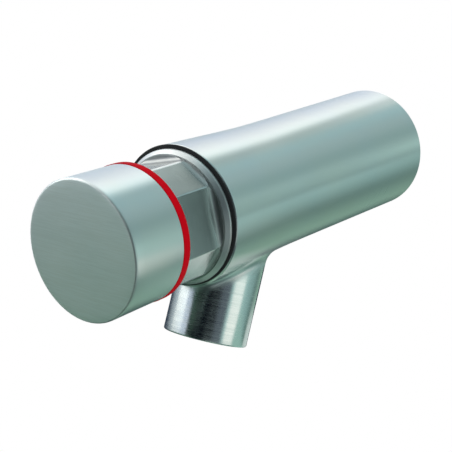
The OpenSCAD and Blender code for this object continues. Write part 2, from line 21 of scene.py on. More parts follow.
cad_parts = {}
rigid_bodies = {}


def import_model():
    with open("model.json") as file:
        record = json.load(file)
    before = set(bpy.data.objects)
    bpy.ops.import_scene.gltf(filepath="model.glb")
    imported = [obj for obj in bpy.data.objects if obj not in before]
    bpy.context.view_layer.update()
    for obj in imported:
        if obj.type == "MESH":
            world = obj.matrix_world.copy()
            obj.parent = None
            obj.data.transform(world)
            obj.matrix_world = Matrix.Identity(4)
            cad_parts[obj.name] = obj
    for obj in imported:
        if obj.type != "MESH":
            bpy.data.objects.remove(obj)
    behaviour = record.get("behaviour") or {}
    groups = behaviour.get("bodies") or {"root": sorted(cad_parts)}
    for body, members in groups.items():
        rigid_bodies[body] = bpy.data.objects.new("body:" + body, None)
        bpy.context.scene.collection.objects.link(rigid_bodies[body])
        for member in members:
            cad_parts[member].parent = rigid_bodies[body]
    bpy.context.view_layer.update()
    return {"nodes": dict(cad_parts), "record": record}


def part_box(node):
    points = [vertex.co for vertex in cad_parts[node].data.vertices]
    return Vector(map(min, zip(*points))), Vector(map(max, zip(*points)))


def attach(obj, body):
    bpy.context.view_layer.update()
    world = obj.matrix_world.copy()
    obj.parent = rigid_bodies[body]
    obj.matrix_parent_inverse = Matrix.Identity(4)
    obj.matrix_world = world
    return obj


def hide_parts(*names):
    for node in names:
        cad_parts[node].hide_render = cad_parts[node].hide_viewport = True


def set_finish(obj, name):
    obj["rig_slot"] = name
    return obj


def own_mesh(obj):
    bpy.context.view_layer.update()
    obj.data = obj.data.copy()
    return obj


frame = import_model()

joint_names = [joint["name"] for joint in frame["record"]["behaviour"]["joints"]]
print("nodes:", len(frame["nodes"]), "joints:", joint_names)

# %% [markdown]
# ## Sizes
#
# The main sizes are those of the CAD model, in millimetres. Most pieces are
# turned on a lathe, so a place is given as a radius and a distance from the wall.
# Three sizes are tighter than in the CAD model, for crisper lights: the rounding
# of the mouth's edge, the front of the hollow and the width of the narrow flats.
# The frame can tell the size of each node, so the CAD body's width is printed
# next to the width used here.

# %% Sizes in millimetres
MM = 0.001
BODY_R = 25.0
BODY_REAR_R = 25.8
WAIST_R = 24.15
WAIST_AT = 87.0
WAIST_BEND = 0.15
BODY_L = 131.4
RIM_EDGE = 0.5
SPOUT_R = 15.5
SPOUT_AT = 97.1
SPOUT_L = 53.7
SPOUT_RAKE = math.radians(23)
MOUTH_EDGE = 0.6
FILLET_REAR = 8.5
FILLET_SIDE = 6.3
FILLET_FRONT = 2.2
WATERWAY_R = 9.5
MOUTH_SEAT_R = 12.05
MOUTH_SEAT_DEPTH = 11.0

body_low, body_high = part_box("tap_body")
print("body: CAD", round((body_high.x - body_low.x) / MM, 2), "mm wide; here", 2 * BODY_REAR_R)

# %% [markdown]
# ## Helpers for turned and wrapped pieces
#
# A turned piece is one outline, drawn as radius and distance, and spun once
# round the tap's axis. A wrapped piece starts as a flat grid of quads, each row
# of which is then laid round the piece as a closed ring. Both give rows of even
# quads, which is what smooth metal needs. Edges where two faces meet at a clear
# angle are marked sharp, and everything else is shaded smooth.

# %% Turn an outline round the tap's axis
AXIS = Vector((0, 1, 0))
STEPS = 192
GRID_GAP, MERGE_GAP, SEAM_GAP = 1e-7, 1e-6, 2e-6


def at_axis(radius, distance):
    """The point at a radius in the plane x > 0, at a distance from the wall."""
    return Vector((radius * MM, -distance * MM, 0))


def arc(radius, distance, size, start, end, parts=6):
    """Points on an arc, by its centre, size and two angles in degrees."""
    turns = [math.radians(start + (end - start) * i / parts) for i in range(parts + 1)]
    return [(radius + size * math.cos(t), distance + size * math.sin(t)) for t in turns]


def draw_outline(bm, outline):
    """Draws a closed outline of (radius, distance) points."""
    verts = [bm.verts.new(at_axis(radius, distance)) for radius, distance in outline]
    return verts, [bm.edges.new(pair) for pair in zip(verts, verts[1:] + verts[:1])]


def turn_outline(bm, outline, steps=STEPS):
    """Spins a closed outline into a ring-shaped solid."""
    verts, edges = draw_outline(bm, outline)
    bmesh.ops.spin(bm, geom=verts + edges, cent=(0, 0, 0), axis=AXIS, dvec=(0, 0, 0),
                   angle=2 * math.pi, steps=steps, use_merge=True, use_duplicate=False)


# %% Wrap a grid of quads into rings
def wrap_grid(bm, columns, rows, place):
    """Lays a flat grid out as rings: place(column, row) gives each point in mm."""
    grid = bmesh.ops.create_grid(bm, x_segments=columns, y_segments=rows, size=1.0)["verts"]
    for v in grid:
        column = round((v.co.x + 1) / 2 * columns)
        row = round((v.co.y + 1) / 2 * rows)
        v.co = Vector(place(column % columns, row)) * MM
    bmesh.ops.remove_doubles(bm, verts=grid, dist=GRID_GAP)


# %% Make an object of a finished mesh
def mend_mesh(bm):
    """Merges points in the same place and turns the faces outwards."""
    bmesh.ops.remove_doubles(bm, verts=bm.verts, dist=MERGE_GAP)
    bmesh.ops.recalc_face_normals(bm, faces=bm.faces)


def new_object(bm, name):
    """Turns a mesh that is done into an object at the origin."""
    mesh = bpy.data.meshes.new(name)
    bm.to_mesh(mesh)
    bm.free()
    piece = bpy.data.objects.new(name, mesh)
    bpy.context.scene.collection.objects.link(piece)
    return piece


def finish_mesh(bm, name, body, slot, nodes, sharp=25.0):
    """Marks sharp edges, shades the rest smooth, and makes the piece ride."""
    mend_mesh(bm)
    for face in bm.faces:
        face.smooth = True
    for edge in bm.edges:
        edge.smooth = len(edge.link_faces) == 2 and edge.calc_face_angle() < math.radians(sharp)
    piece = new_object(bm, name)
    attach(piece, body)
    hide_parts(*nodes)
    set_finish(piece, slot)
    print(name, len(piece.data.polygons), "faces, rides on", body)
    return piece


# %% [markdown]
# ## The body with its spout
#
# On the real tap a tube is drawn out or welded to the body and the joint is
# ground to a smooth hollow, wide towards the wall and tight towards the button.
# The tube itself is a little waisted: it narrows from the wall to the spout and
# widens again to its front rim. A bevel can't change its size round the joint,
# and it would need a sharp crossing first. The hollow here is the path of a
# ball that rolls round the spout and touches both tubes. Where the ball touches
# the body, the rings spread over the body's own curve until they meet a window
# that is left open in it, so the whole outside is one even skin.

# %% Where a ball rolls between spout and body
SPOUT_DIR = Vector((0, -math.sin(SPOUT_RAKE), -math.cos(SPOUT_RAKE)))
SPOUT_FWD = Vector((0, -math.cos(SPOUT_RAKE), math.sin(SPOUT_RAKE)))
SPOUT_ROOT = Vector((0, -SPOUT_AT, 0))
SIDE = Vector((1, 0, 0))
BALL_TRIES = 6


def body_radius(distance):
    """The body's outside: two slopes that run into each other in a hyperbola."""
    rise, run = BODY_REAR_R - WAIST_R, WAIST_AT
    if distance > WAIST_AT:
        rise, run = BODY_R - WAIST_R, BODY_L - WAIST_AT
    slope = math.sqrt((rise + WAIST_BEND) ** 2 - WAIST_BEND ** 2) / run
    return WAIST_R - WAIST_BEND + math.hypot(WAIST_BEND, slope * (distance - WAIST_AT))


def side_of_spout(turn):
    return math.cos(turn) * SIDE + math.sin(turn) * SPOUT_FWD


def ball_size(turn):
    """The ball's radius: largest on the wall side, smallest on the button side."""
    ahead = math.sin(turn)
    middle = (FILLET_REAR + FILLET_FRONT) / 2
    slope = (FILLET_REAR - FILLET_FRONT) / 2
    return FILLET_SIDE - slope * ahead - (FILLET_SIDE - middle) * ahead ** 2


def beside_spout(beside, turn, depth):
    """The point beside the spout's axis that lies depth away from the body's axis."""
    drop = math.sqrt(depth ** 2 - (beside * math.cos(turn)) ** 2)
    drop = (drop + beside * math.sin(turn) * math.sin(SPOUT_RAKE)) / math.cos(SPOUT_RAKE)
    return SPOUT_ROOT + drop * SPOUT_DIR + beside * side_of_spout(turn)


def hollow(turn, part):
    """A point in the hollow: part 0 touches the spout and part 1 touches the body."""
    size = ball_size(turn)
    ball = SPOUT_ROOT
    for _ in range(BALL_TRIES):
        ball = beside_spout(SPOUT_R + size, turn, body_radius(-ball.y) + size)
    to_spout = -side_of_spout(turn)
    to_body = -Vector((ball.x, 0, ball.z)).normalized()
    return ball + size * to_spout.slerp(to_body, part)


# %% The rings of the skin, from the mouth to the body
COLUMNS = 192
WINDOW_ACROSS = 60
WINDOW_ALONG = COLUMNS // 2 - WINDOW_ACROSS
WINDOW_REAR = 78.0
WINDOW_FRONT = BODY_L - RIM_EDGE
EDGE_ROWS = 8
WALL_ROWS = 8
HOLLOW_ROWS = 14
SPREAD_ROWS = 12


def on_body(angle, distance):
    """A point on the body's outside, by angle from straight down."""
    radius = body_radius(distance)
    return Vector((radius * math.sin(angle), -distance, -radius * math.cos(angle)))


def window_place(column):
    """The point of the window's edge that column ends at, as angle and distance."""
    half_w, half_l = WINDOW_ACROSS // 2, WINDOW_ALONG // 2
    step = 2 * math.pi / COLUMNS
    row = (WINDOW_FRONT - WINDOW_REAR) / WINDOW_ALONG
    middle = (WINDOW_FRONT + WINDOW_REAR) / 2
    c = (column + half_l) % COLUMNS
    if c < WINDOW_ALONG:
        return half_w * step, middle + (c - half_l) * row
    c -= WINDOW_ALONG
    if c < WINDOW_ACROSS:
        return (half_w - c) * step, WINDOW_FRONT
    c -= WINDOW_ACROSS
    if c < WINDOW_ALONG:
        return -half_w * step, WINDOW_FRONT - c * row
    c -= WINDOW_ALONG
    return (c - half_w) * step, WINDOW_REAR


def skin_point(column, row):
    """One point of the spout's skin, from the inner edge of the mouth upwards."""
    turn = 2 * math.pi * column / COLUMNS
    if row == 0:
        return SPOUT_ROOT + SPOUT_L * SPOUT_DIR + (SPOUT_R - 2 * MOUTH_EDGE) * side_of_spout(turn)
    row -= 1
    if row <= EDGE_ROWS:
        bend = math.pi / 2 * row / EDGE_ROWS
        beside = SPOUT_R - MOUTH_EDGE + MOUTH_EDGE * math.sin(bend)
        down = SPOUT_L - MOUTH_EDGE + MOUTH_EDGE * math.cos(bend)
        return SPOUT_ROOT + down * SPOUT_DIR + beside * side_of_spout(turn)
    row -= EDGE_ROWS
    top = hollow(turn, 0.0)
    if row <= WALL_ROWS:
        low = SPOUT_ROOT + (SPOUT_L - MOUTH_EDGE) * SPOUT_DIR + SPOUT_R * side_of_spout(turn)
        return low.lerp(top, row / WALL_ROWS)
    row -= WALL_ROWS
    if row <= HOLLOW_ROWS:
        return hollow(turn, row / HOLLOW_ROWS)
    row -= HOLLOW_ROWS
    touch = hollow(turn, 1.0)
    angle, distance = math.atan2(touch.x, -touch.z), -touch.y
    end_angle, end_distance = window_place(column)
    part = row / SPREAD_ROWS
    return on_body(angle + (end_angle - angle) * part, distance + (end_distance - distance) * part)


SKIN_ROWS = 1 + EDGE_ROWS + WALL_ROWS + HOLLOW_ROWS + SPREAD_ROWS
print("spout skin:", COLUMNS, "columns and", SKIN_ROWS, "rows")

# %% The tube of the body, with the window left open
REAR_ROWS = 24
HUB_R = 10.0


def tube_rows():
    """Radius and distance of each ring of the body, from the hub of one end to the other."""
    row = (WINDOW_REAR - RIM_EDGE) / REAR_ROWS
    places = [RIM_EDGE + row * i for i in range(REAR_ROWS)]
    row = (WINDOW_FRONT - WINDOW_REAR) / WINDOW_ALONG
    places += [WINDOW_REAR + row * i for i in range(WINDOW_ALONG + 1)]
    side = [(body_radius(place), place) for place in places]
    rear = [(HUB_R, 0.0), (BODY_REAR_R - RIM_EDGE, 0.0)]
    return rear + side + [(BODY_R - RIM_EDGE, BODY_L), (HUB_R, BODY_L)]


TUBE_ROWS = tube_rows()


def tube_point(column, row):
    radius, distance = TUBE_ROWS[row]
    angle = 2 * math.pi * column / COLUMNS
    return Vector((radius * math.sin(angle), -distance, -radius * math.cos(angle)))


def in_window(face):
    """True for the faces of the tube that the spout's skin takes the place of."""
    middle = face.calc_center_median() / MM
    angle = abs(math.atan2(middle.x, -middle.z))
    outside = math.hypot(middle.x, middle.z) > WAIST_R - 1
    inside_angle = angle < math.pi * WINDOW_ACROSS / COLUMNS
    return outside and inside_angle and WINDOW_REAR < -middle.y < WINDOW_FRONT


# %% Put tube and spout together and close their ends
skin = bmesh.new()
wrap_grid(skin, COLUMNS, len(TUBE_ROWS) - 1, tube_point)
bmesh.ops.delete(skin, geom=[f for f in skin.faces if in_window(f)], context="FACES")
wrap_grid(skin, COLUMNS, SKIN_ROWS, skin_point)
bmesh.ops.remove_doubles(skin, verts=skin.verts, dist=SEAM_GAP)
open_edges = [e for e in skin.edges if e.is_boundary]
bmesh.ops.holes_fill(skin, edges=open_edges, sides=0)
bmesh.ops.recalc_face_normals(skin, faces=skin.faces)
print("open edges closed:", len(open_edges), "faces:", len(skin.faces))

# %% [markdown]
# ## The hollow inside
#
# The inside is bored on the real body: chambers along its axis, a waterway down
# the spout, and a seat for the aerator in the mouth. Boring is a cut, so the
# inside is built as its own closed shape and taken away with a boolean. The
# boolean only touches flat end faces, so the skin outside keeps its even quads.


# %% Bore the body
CUT_STEPS = 128


def cutter_object(name, bm):
    mend_mesh(bm)
    return new_object(bm, name)


def round_tool(bm, radius, start, end):
    """A closed cylinder along the spout, from one distance along it to another."""
    made = bmesh.ops.create_cone(bm, cap_ends=True, segments=CUT_STEPS, radius1=radius * MM,
                                 radius2=radius * MM, depth=(end - start) * MM)
    along = SPOUT_DIR.to_track_quat("Z", "Y").to_matrix().to_4x4()
    middle = (SPOUT_ROOT + (start + end) / 2 * SPOUT_DIR) * MM
    bmesh.ops.transform(bm, matrix=Matrix.Translation(middle) @ along, verts=made["verts"])


CHAMBERS = [(0, -1), (22.05, -1), (22.05, 2), (17.45, 2), (17.45, 0.6), (11.7, 0.6), (11.7, 2.4),
            (10.53, 2.4), (10.53, 14.5), (14.05, 14.5), (14.05, 60), (19, 60), (19, 117.9),
            (20.05, 117.9), (20.05, 132.4), (0, 132.4)]
chambers = bmesh.new()
turn_outline(chambers, CHAMBERS, CUT_STEPS)
waterway = bmesh.new()
round_tool(waterway, WATERWAY_R, 10, SPOUT_L - 4)
mouth = bmesh.new()
round_tool(mouth, MOUTH_SEAT_R, SPOUT_L - MOUTH_SEAT_DEPTH, SPOUT_L + 5)
tools = [cutter_object("cut_chambers", chambers), cutter_object("cut_waterway", waterway),
         cutter_object("cut_mouth", mouth)]


def cut_with(piece, tools):
    """Takes the tools away from the piece, one after the other."""
    for tool in tools:
        cut = piece.modifiers.new("cut", "BOOLEAN")
        cut.operation = "DIFFERENCE"
        cut.solver = "EXACT"
        cut.object = tool
    bpy.context.view_layer.update()
    graph = bpy.context.evaluated_depsgraph_get()
    bored = bpy.data.meshes.new_from_object(piece.evaluated_get(graph))
    piece.modifiers.clear()
    bm = bmesh.new()
    bm.from_mesh(bored)
    for used in [piece] + tools:
        bpy.data.objects.remove(used)
    return bm


bored = cut_with(cutter_object("body_blank", skin), tools)
body_shell = finish_mesh(bored, "body_shell", "tap", "brushed_steel", ["tap_body"])
open_left = bmesh.new()
open_left.from_mesh(body_shell.data)
print("open edges in the body:", sum(not e.is_manifold for e in open_left.edges))
open_left.free()

# %% [markdown]
# ## The head
#
# The head is a turned blank with eight flats milled into it for a spanner, four
# wide and four narrow. Each flat runs out at its foot in a small hollow, the
# shape the cutter leaves, and the round bar survives as a thin strip at each
# corner. The blank and its flats are wrapped as one skin: the columns are
# spread so that corners always have a column of their own, which keeps them crisp.

# %% Sizes of the head
SEAL_T = 0.7
FLANGE_AT = BODY_L + SEAL_T
FLANGE_R = 23.7
FLANGE_T = 2.1
FLANGE_SLOPE = 1.4
FLANGE_EDGE = 0.9
FLATS_AT = FLANGE_AT + FLANGE_T
FLATS_FOOT = FLATS_AT + 0.3
FLATS_END = FLATS_AT + 22.8
BAR_R = 21.9
WIDE, NARROW = 38.9 / 2, 41.8 / 2
FLATS_TURN = math.radians(12.5)
FOOT_R = 1.6
BAR_EDGE = 1.0
NECK_R = 12.5
NECK_END = FLATS_END + 3.0
SLEEVE_R = 15.65
HEAD_REAR = BODY_L - 13.5
THREAD_R = 20.0
BUSH_R = 8.0
BUSH_FLOOR = 127.9
STEM_HOLE_R = 3.3
INSIDE_AT = 122.95
WIDE_PARTS, NARROW_PARTS, STRIP_PARTS = 22, 16, 1
LEAST_NARROW = math.radians(9)
FOOT_PARTS, FLAT_PARTS, BAR_PARTS = 10, 6, 8


# %% The outline of the flats at each height
def flats_ring(wide, narrow, bar):
    """One closed ring of (angle, radius) round the flats, the same count at any height."""
    half_wide = math.acos(min(wide / bar, 1))
    half_narrow = max(math.acos(min(narrow / bar, 1)), LEAST_NARROW)
    strip = math.pi / 4 - half_wide - half_narrow
    ring = []
    for quarter in range(4):
        start = FLATS_TURN + quarter * math.pi / 2
        for i in range(WIDE_PARTS):
            turn = half_wide * (2 * i / WIDE_PARTS - 1)
            ring.append((start + turn, wide / math.cos(turn)))
        for i in range(STRIP_PARTS):
            ring.append((start + half_wide + strip * i / STRIP_PARTS, bar))
        for i in range(NARROW_PARTS):
            turn = half_narrow * (2 * i / NARROW_PARTS - 1)
            ring.append((start + math.pi / 4 + turn, min(narrow / math.cos(turn), bar)))
        for i in range(STRIP_PARTS):
            ring.append((start + math.pi / 4 + half_narrow + strip * i / STRIP_PARTS, bar))
    return ring


def head_rings():
    """The rings of the head in order, all round its section, as (ring, distance)."""
    full = flats_ring(WIDE, NARROW, BAR_R)
    foot = flats_ring(WIDE + FOOT_R, NARROW + FOOT_R, BAR_R)

    def round_ring(radius, like=full):
        return [(angle, radius) for angle, _ in like]

    rings = []
    for radius, distance in [(SLEEVE_R, HEAD_REAR), (THREAD_R - 0.6, HEAD_REAR),
                             (THREAD_R, HEAD_REAR + 0.6), (THREAD_R, FLANGE_AT),
                             (FLANGE_R - 0.1, FLANGE_AT), (FLANGE_R, FLANGE_AT + 0.1)]:
        rings.append((round_ring(radius), distance))
    back = FLANGE_EDGE * math.tan(math.radians(22.5))
    for radius, distance in arc(FLANGE_R - FLANGE_EDGE, FLATS_AT - FLANGE_SLOPE - back,
                                FLANGE_EDGE, 0, 45, 6):
        rings.append((round_ring(radius), distance))
    rings.append((round_ring(FLANGE_R - FLANGE_SLOPE), FLATS_AT))
    rings.append((round_ring(BAR_R, foot), FLATS_AT))
    rings.append((round_ring(BAR_R, foot), FLATS_FOOT))
    for i in range(FOOT_PARTS):
        bend = math.radians(90 / FOOT_PARTS * i)
        out = FOOT_R * (1 - math.sin(bend))
        up = FOOT_R * (1 - math.cos(bend))
        rings.append((flats_ring(WIDE + out, NARROW + out, BAR_R), FLATS_FOOT + up))
    rings.append((full, FLATS_FOOT + FOOT_R))
    flat_l = FLATS_END - BAR_EDGE - FLATS_FOOT - FOOT_R
    for i in range(1, FLAT_PARTS + 1):
        rings.append((full, FLATS_FOOT + FOOT_R + flat_l * i / FLAT_PARTS))
    for i in range(1, BAR_PARTS + 1):
        cut = BAR_EDGE * i / BAR_PARTS
        rings.append((flats_ring(WIDE, NARROW, BAR_R - cut), FLATS_END - BAR_EDGE + cut))
    for radius, distance in [(NECK_R, FLATS_END), (NECK_R, NECK_END - 0.5),
                             (NECK_R - 0.5, NECK_END), (BUSH_R, NECK_END),
                             (BUSH_R, BUSH_FLOOR), (STEM_HOLE_R, BUSH_FLOOR),
                             (STEM_HOLE_R, INSIDE_AT), (SLEEVE_R, INSIDE_AT)]:
        rings.append((round_ring(radius), distance))
    rings.append(rings[0])
    return rings


# %% Wrap the head
HEAD_RINGS = head_rings()
HEAD_COLUMNS = len(HEAD_RINGS[0][0])


def head_point(column, row):
    ring, distance = HEAD_RINGS[row]
    angle, radius = ring[column]
    return Vector((radius * math.cos(angle), -distance, radius * math.sin(angle)))


head = bmesh.new()
wrap_grid(head, HEAD_COLUMNS, len(HEAD_RINGS) - 1, head_point)
head_shell = finish_mesh(head, "head_shell", "tap", "head_metal", ["valve_head"], sharp=20.0)

# %% [markdown]
# ## The seal between head and body
#
# A flat black ring is squeezed between the head's flange and the rim of the
# body. Under that pressure its edge turns round. Below, where the head pulls
# hardest, the ring is drawn in a little and the black line thins out.

# %% Turn the head's seal
SEAL_EDGE = 0.3
SEAL_BORE = 20.05
SEAL_SQUEEZE = 0.8
SQUEEZE_WHOLE = 0.8
seal_out = BODY_R + 0.1 - SEAL_EDGE
seal = bmesh.new()
turn_outline(seal, [(SEAL_BORE, BODY_L)] + arc(seal_out, BODY_L + SEAL_EDGE, SEAL_EDGE, -90, 0)
             + arc(seal_out, FLANGE_AT - SEAL_EDGE, SEAL_EDGE, 0, 90) + [(SEAL_BORE, FLANGE_AT)])
for v in seal.verts:
    radius = math.hypot(v.co.x, v.co.z)
    if radius > (SEAL_BORE + 1) * MM:
        squeezed = SEAL_SQUEEZE * MM * min(max(-v.co.z / radius, 0) / SQUEEZE_WHOLE, 1)
        v.co -= Vector((v.co.x, 0, v.co.z)) / radius * squeezed
head_seal = finish_mesh(seal, "head_seal_ring", "tap", "black_rubber", ["head_seal"])

# %% [markdown]
# ## The button
#
# The button is a drawn steel cap that slides over the front of the head, with
# little room to spare. The cap's face meets its side in a small rounding that
# catches a bright line. The red ring sits on a step at the cap's rear rim and
# stands a hair proud of the steel. Both are turned. Inside the cap is a groove
# for the clip that holds the plastic disc. The brushed steel round the ring is
# too coarse to mirror a thing so narrow, so the ring is kept out of reflections.

# %% Turn the cap and the red ring
BUTTON_R = 23.0
FACE_AT = 177.3
CAP_AT = 155.8
RING_AT = 152.9
RING_R = BUTTON_R + 0.23
CAP_EDGE = 0.7
CAP_BORE = BUTTON_R - 0.9
CAP_FLOOR = 175.1
GROOVE_REAR, GROOVE_FRONT = 168.2, 169.45
GROOVE_R = CAP_BORE + 0.45
RING_SEAT = BUTTON_R - 0.4
cap = bmesh.new()
cap_outline = [(0.0, FACE_AT)] + [(4.0 * i, FACE_AT) for i in range(1, 6)]
cap_outline += list(reversed(arc(BUTTON_R - CAP_EDGE, FACE_AT - CAP_EDGE, CAP_EDGE, 0, 90, 8)))
cap_outline += [(BUTTON_R, FACE_AT - CAP_EDGE - 4.1 * i) for i in range(1, 5)]
cap_outline += [(BUTTON_R, CAP_AT + 0.1), (BUTTON_R - 0.1, CAP_AT), (RING_SEAT, CAP_AT),
                (RING_SEAT, RING_AT + 0.75), (CAP_BORE, RING_AT + 0.75)]
cap_outline += [(CAP_BORE, GROOVE_REAR), (GROOVE_R, GROOVE_REAR), (GROOVE_R, GROOVE_FRONT),
                (CAP_BORE, GROOVE_FRONT), (CAP_BORE, CAP_FLOOR), (0.0, CAP_FLOOR)]
turn_outline(cap, cap_outline)
button_cap = finish_mesh(cap, "button_shell", "button", "button_steel", ["button_cap"])

ring = bmesh.new()
ring_outline = [(CAP_BORE, RING_AT + 0.15), (CAP_BORE + 0.15, RING_AT)]
ring_outline += arc(RING_R - 0.3, RING_AT + 0.3, 0.3, -90, 0, 4)
ring_outline += arc(RING_R - 0.15, CAP_AT - 0.2, 0.15, 0, 90, 3)
ring_outline += [(RING_SEAT + 0.05, CAP_AT - 0.05), (RING_SEAT + 0.05, RING_AT + 0.7),
                 (CAP_BORE, RING_AT + 0.7)]
turn_outline(ring, ring_outline)
red_ring = finish_mesh(ring, "red_ring", "button", "red_plastic", ["colour_ring"])
red_ring.visible_glossy = False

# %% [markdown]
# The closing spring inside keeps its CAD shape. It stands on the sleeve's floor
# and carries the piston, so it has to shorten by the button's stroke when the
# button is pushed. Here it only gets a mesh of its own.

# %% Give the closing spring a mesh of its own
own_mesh(frame["nodes"]["closing_spring"])

# %% [markdown]
# ## The threaded tail and the wall gasket
#
# From behind, the tap shows a brass tail with a G 1/2 pipe thread, which has 14
# turns to the inch. The thread is one tooth's outline, spun round the axis while
# it moves along it. Its two ends are faded into the core, as a die leaves them.

# %% Turn the tail and cut its thread
TAIL_R = 10.48
TAIL_L = 14.0
TAIL_BORE = 7.3
PITCH = 25.4 / 14
TOOTH = 1.162
TURNS = 6
THREAD_STEPS = 72
THREAD_END = 1.45
SKIRT_R = 8.65
UNDERCUT = 2.4
COLLAR_END = 12.0
GASKET_IN, GASKET_OUT = 17.5, 22.0
GASKET_T = 2.0
GASKET_EDGE = 0.25


def fade(done):
    """How much of the tooth is left after a share of its length."""
    return min(1.0, done * TURNS * 2, (1 - done) * TURNS * 2)


def cut_thread(bm, root_r, start):
    """Spins a closed tooth outline into a helix and fades its ends into the core."""
    half = PITCH / 2
    low, crest = root_r - 0.05, root_r + TOOTH
    tooth = [(low, -half * 0.96), (crest - 0.12, -half * 0.2), (crest, -half * 0.08),
             (crest, half * 0.08), (crest - 0.12, half * 0.2), (low, half * 0.96)]
    verts, edges = draw_outline(bm, [(radius, start + half + along) for radius, along in tooth])
    cap_face = bm.faces.new(verts)
    bmesh.ops.spin(bm, geom=verts + edges + [cap_face], cent=(0, 0, 0), axis=AXIS,
                   dvec=(0, -PITCH * MM / THREAD_STEPS, 0), angle=2 * math.pi * TURNS,
                   steps=TURNS * THREAD_STEPS, use_merge=False, use_duplicate=False)
    for v in bm.verts:
        radius = math.hypot(v.co.x, v.co.z) / MM
        if radius > low + 0.001:
            done = (-v.co.y / MM - start - half) / (TURNS * PITCH)
            radius_new = low + (radius - low) * max(0.02, fade(min(max(done, 0), 1)))
            v.co.x *= radius_new / radius
            v.co.z *= radius_new / radius


thread = bmesh.new()
root = TAIL_R - TOOTH
cut_thread(thread, root, -TAIL_L + 0.7)
turn_outline(thread, [(TAIL_BORE, -TAIL_L + THREAD_END), (SKIRT_R, -TAIL_L + THREAD_END),
                      (SKIRT_R, -TAIL_L + 0.1), (SKIRT_R + 0.1, -TAIL_L), (root - 0.1, -TAIL_L),
                      (root, -TAIL_L + 0.1), (root, UNDERCUT), (TAIL_R, UNDERCUT),
                      (TAIL_R, COLLAR_END - 0.5), (TAIL_R - 0.5, COLLAR_END),
                      (TAIL_BORE, COLLAR_END)], 2 * THREAD_STEPS)
tail = finish_mesh(thread, "threaded_tail", "tap", "machined_brass", ["inlet_tail"])

gasket = bmesh.new()
turn_outline(gasket, [(GASKET_IN, GASKET_EDGE), (GASKET_IN + GASKET_EDGE, 0.0),
                      (GASKET_OUT - GASKET_EDGE, 0.0), (GASKET_OUT, GASKET_EDGE),
                      (GASKET_OUT, GASKET_T), (GASKET_IN, GASKET_T)])
gasket_ring = finish_mesh(gasket, "wall_gasket_ring", "tap", "black_rubber", ["wall_gasket"])

# %% [markdown]
# ## Shared effects
#
# Two effects serve more than one finish, so each is a node group. Grain gives
# the fine lines that a brush leaves: a noise that is stretched a long way along
# the lines and is very fine across them. Clouds gives slow, faint changes that
# keep a large plain surface from looking computed. Both give numbers from 0 to
# 1, and each material decides what they change.

# %% Small helpers for nodes
MIX_SOCKETS = {"FLOAT": (2, 3, 0), "VECTOR": (4, 5, 1), "RGBA": (6, 7, 2)}


def add_node(tree, kind, **settings):
    node = tree.nodes.new(kind)
    for name, value in settings.items():
        setattr(node, name, value)
    return node


def set_inputs(tree, node, values):
    """Links a socket, or sets a plain value, for each named or numbered input."""
    for name, value in values.items():
        if isinstance(value, bpy.types.NodeSocket):
            tree.links.new(value, node.inputs[name])
        else:
            node.inputs[name].default_value = value
    return node


def maths(tree, operation, a, b=0.0):
    node = add_node(tree, "ShaderNodeMath", operation=operation)
    return set_inputs(tree, node, {0: a, 1: b}).outputs[0]


def weighed(tree, parts, plain=0.0):
    """Adds up each part times its weight, and then a plain number."""
    scaled = [maths(tree, "MULTIPLY", part, weight) for part, weight in parts]
    total = scaled[0]
    for other in scaled[1:] + [plain]:
        total = maths(tree, "ADD", total, other)
    return total


def vectors(tree, operation, a, b=(0, 0, 0)):
    node = add_node(tree, "ShaderNodeVectorMath", operation=operation)
    set_inputs(tree, node, {0: a, 1: b})
    return node.outputs["Value" if operation in ("DOT_PRODUCT", "LENGTH") else "Vector"]


def split(tree, vector):
    return set_inputs(tree, add_node(tree, "ShaderNodeSeparateXYZ"), {0: vector}).outputs


def join(tree, x=0.0, y=0.0, z=0.0):
    return set_inputs(tree, add_node(tree, "ShaderNodeCombineXYZ"), {0: x, 1: y, 2: z}).outputs[0]


def fade_between(tree, value, low, high, to_low=0.0, to_high=1.0):
    node = add_node(tree, "ShaderNodeMapRange", interpolation_type="SMOOTHSTEP")
    set_inputs(tree, node, {"Value": value, "From Min": low, "From Max": high,
                            "To Min": to_low, "To Max": to_high})
    return node.outputs["Result"]


def blend(tree, share, a, b, kind="FLOAT"):
    """Gives a where the share is 0 and b where it is 1: values, vectors or colours."""
    first, second, out = MIX_SOCKETS[kind]
    node = add_node(tree, "ShaderNodeMix", data_type=kind)
    return set_inputs(tree, node, {0: share, first: a, second: b}).outputs[out]


def blend_colours(tree, share, a, b):
    """Blends two colours, each of which is a socket or three numbers."""
    a, b = [(*colour, 1) if isinstance(colour, tuple) else colour for colour in (a, b)]
    return blend(tree, share, a, b, "RGBA")


def noise(tree, place, scale, detail, roughness=0.5):
    node = add_node(tree, "ShaderNodeTexNoise")
    set_inputs(tree, node, {"Vector": place, "Scale": scale, "Detail": detail,
                            "Roughness": roughness})
    return node.outputs[0]


# %% The groups
def new_group(name, numbers, output):
    """A group that takes a vector and the named numbers, and gives one number."""
    tree = bpy.data.node_groups.new(name, "ShaderNodeTree")
    tree.interface.new_socket("Vector", in_out="INPUT", socket_type="NodeSocketVector")
    for socket in numbers:
        tree.interface.new_socket(socket, in_out="INPUT", socket_type="NodeSocketFloat")
    tree.interface.new_socket(output, in_out="OUTPUT", socket_type="NodeSocketFloat")
    return tree, tree.nodes.new("NodeGroupInput").outputs, tree.nodes.new("NodeGroupOutput")


def grain_group():
    """Brush lines: Vector's x is across the lines, its y and z lie along them."""
    tree, given, result = new_group("grain", ["Across", "Along"], "Lines")
    scale = join(tree, given["Across"], given["Along"], given["Along"])
    stretched = vectors(tree, "MULTIPLY", given["Vector"], scale)
    fine = noise(tree, stretched, 1.0, 3.0, 0.6)
    coarse = noise(tree, stretched, 0.23, 2.0)
    set_inputs(tree, result, {"Lines": weighed(tree, [(fine, 0.65), (coarse, 0.35)])})
    return tree


